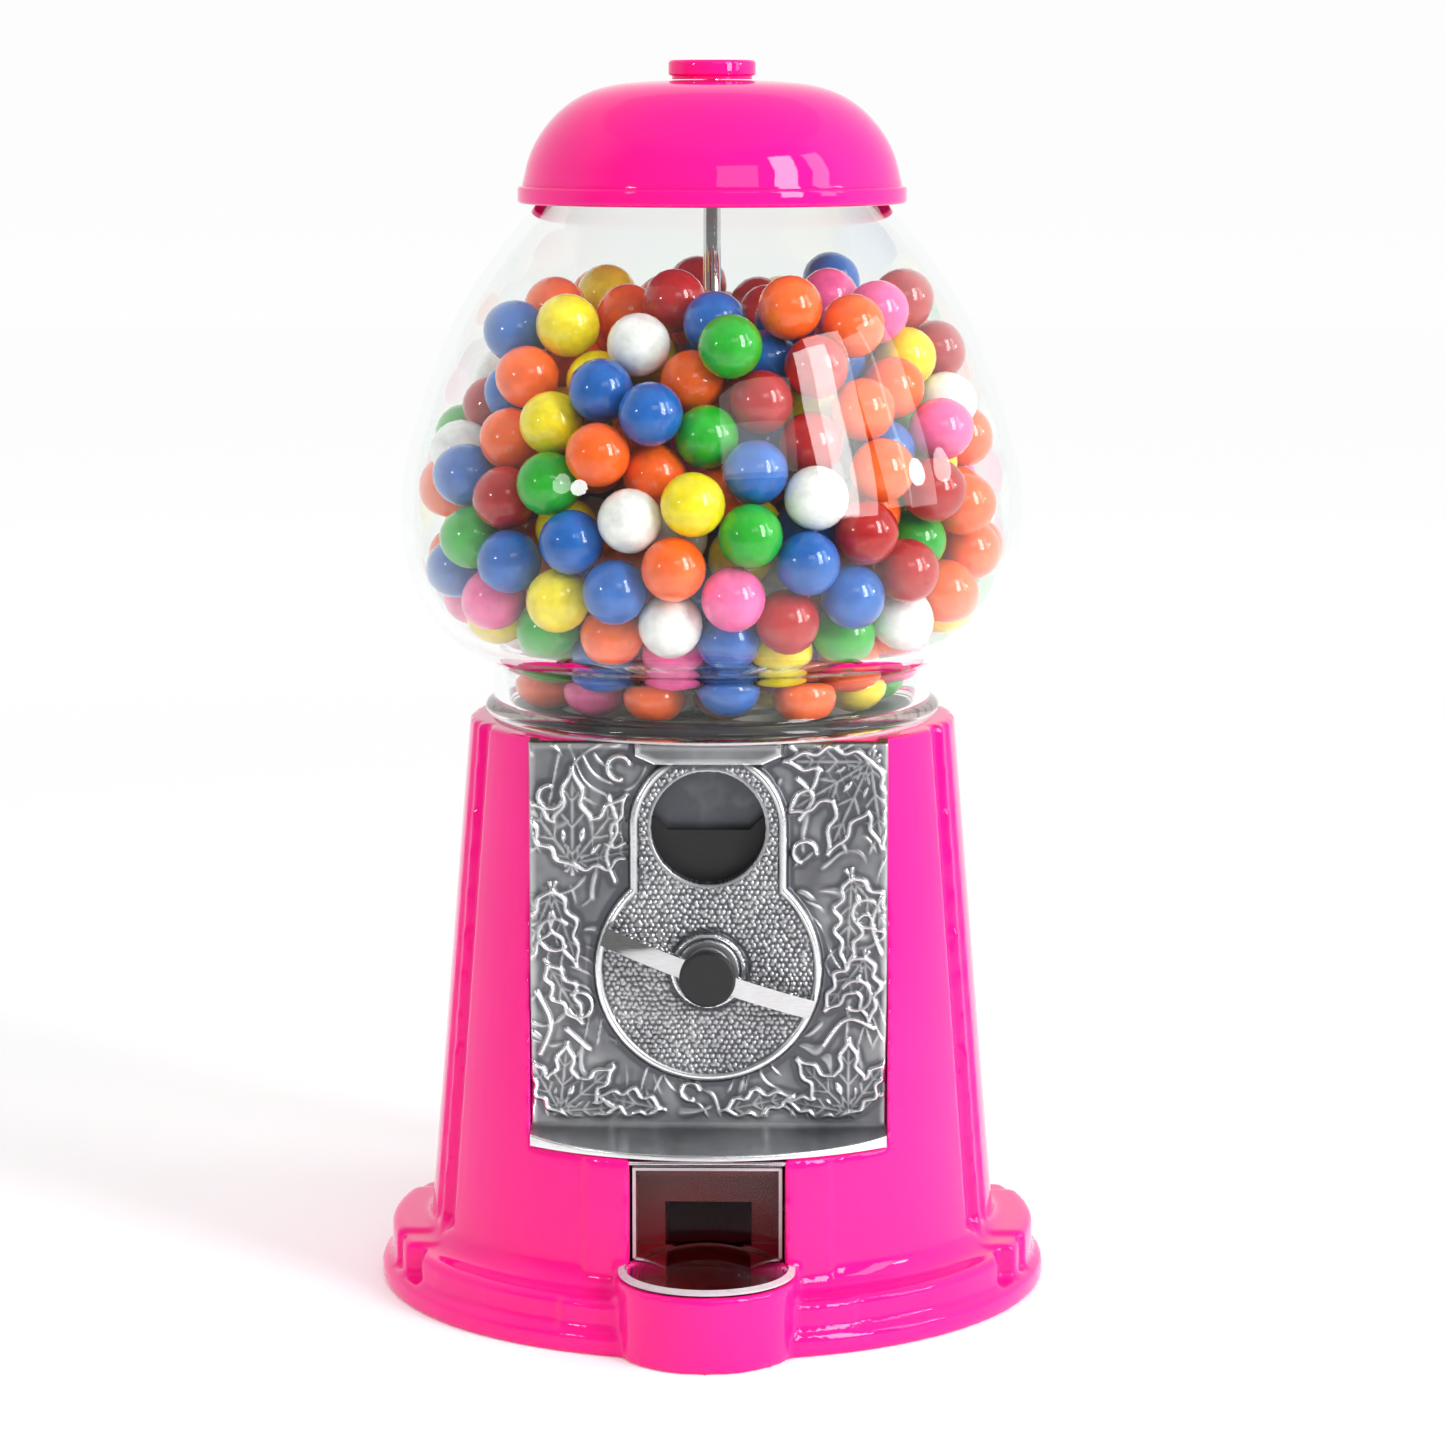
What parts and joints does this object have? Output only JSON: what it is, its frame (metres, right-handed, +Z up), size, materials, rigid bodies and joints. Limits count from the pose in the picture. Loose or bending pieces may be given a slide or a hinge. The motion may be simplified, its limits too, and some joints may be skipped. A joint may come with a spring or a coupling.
{
  "type": "gumball machine",
  "caption": "Coin-operated gumball bank: cast stand with a coin window, turn handle, chute flap and cup, a glass globe of gumballs and a screwed-down domed lid.",
  "frame": {"origin": "on the table, under the axis of the globe", "axes": "+Z up; the cup, handle and coin window face -Y; +X is to the right as seen from the front"},
  "size_m": [0.154, 0.164, 0.2794],
  "materials": {
    "pink_enamel": "high gloss enamel",
    "cast_aluminium": "antiqued casting",
    "polished_steel": "polished",
    "zinc_steel": "zinc plated",
    "brass": "turned",
    "black_plastic": "moulded",
    "maroon_plastic": "moulded",
    "dark_cap": "satin",
    "gear_plastic": "moulded",
    "rubber": "matte",
    "clear_seal": "translucent",
    "glass": "clear",
    "clear_plastic": "clear moulding",
    "gum_orange": "sugar glaze",
    "gum_red": "sugar glaze",
    "gum_blue": "sugar glaze",
    "gum_yellow": "sugar glaze",
    "gum_green": "sugar glaze",
    "gum_pink": "sugar glaze",
    "gum_white": "sugar glaze"
  },
  "bodies": {
    "stand": {"body_casting": "pink_enamel", "face_plate": "cast_aluminium", "coin_track_plate": "cast_aluminium", "center_rod": "polished_steel", "flap_pin": "polished_steel", "base_plate": "zinc_steel", "base_screws": "zinc_steel", "plate_screws": "zinc_steel", "idler_post": "zinc_steel", "idler_clip": "zinc_steel", "pawl_pivot": "zinc_steel", "pawl_spring": "zinc_steel", "hopper_screws": "zinc_steel", "ball_baffle": "zinc_steel", "rod_nuts": "zinc_steel", "duct_screws": "zinc_steel", "shaft_bush": "brass", "hopper": "black_plastic", "chute_duct": "maroon_plastic", "base_pad": "rubber", "globe_gasket": "clear_seal", "globe": "glass", "gumballs_orange": "gum_orange", "gumballs_red": "gum_red", "gumballs_blue": "gum_blue", "gumballs_yellow": "gum_yellow", "gumballs_green": "gum_green", "gumballs_pink": "gum_pink", "gumballs_white": "gum_white"},
    "plug": {"coin_plug": "rubber"},
    "handle": {"coin_wheel": "black_plastic", "handle_shaft": "polished_steel", "handle_lever": "polished_steel", "handle_cap": "dark_cap", "drive_pinion": "gear_plastic", "shaft_clip": "zinc_steel"},
    "idler": {"idler_gear": "gear_plastic"},
    "pawl": {"coin_pawl": "zinc_steel"},
    "candy_wheel": {"candy_wheel": "gear_plastic"},
    "lid": {"lid": "pink_enamel", "lid_gasket": "clear_seal"},
    "knob": {"lid_knob": "pink_enamel"},
    "flap": {"chute_flap": "clear_plastic"}
  },
  "joints": [
    {"name": "handle_turn", "type": "hinge", "parent": "stand", "child": "handle", "pos_m": [0, -0.046, 0.0805], "axis": [0, 1, 0], "continuous": true},
    {"name": "idler_turn", "type": "hinge", "parent": "stand", "child": "idler", "pos_m": [0, -0.032, 0.1005], "axis": [0, 1, 0], "continuous": true},
    {"name": "candy_wheel_turn", "type": "hinge", "parent": "stand", "child": "candy_wheel", "pos_m": [0, 0, 0.12], "axis": [0, 0, 1], "continuous": true},
    {"name": "pawl_swing", "type": "hinge", "parent": "stand", "child": "pawl", "pos_m": [-0.014, -0.041, 0.0422], "axis": [0, -1, 0], "range_deg": [0, 12], "stiffness_Nm_per_rad": 0.002, "springref_deg": -17.19},
    {"name": "coin_plug_pull", "type": "slide", "parent": "stand", "child": "plug", "axis": [0, 0, -1], "range_m": [0, 0.012]},
    {"name": "lid_lift", "type": "slide", "parent": "stand", "child": "lid", "axis": [0, 0, 1], "range_m": [0, 0.08]},
    {"name": "knob_turn", "type": "hinge", "parent": "lid", "child": "knob", "pos_m": [0, 0, 0.277], "axis": [0, 0, 1], "continuous": true},
    {"name": "flap_swing", "type": "hinge", "parent": "stand", "child": "flap", "pos_m": [0, -0.0595, 0.0397], "axis": [-1, 0, 0], "range_deg": [0, 78]}
  ],
  "couplings": [
    {"joint": "idler_turn", "follows": "handle_turn", "ratio": -0.66667},
    {"joint": "candy_wheel_turn", "follows": "handle_turn", "ratio": -0.25}
  ]
}
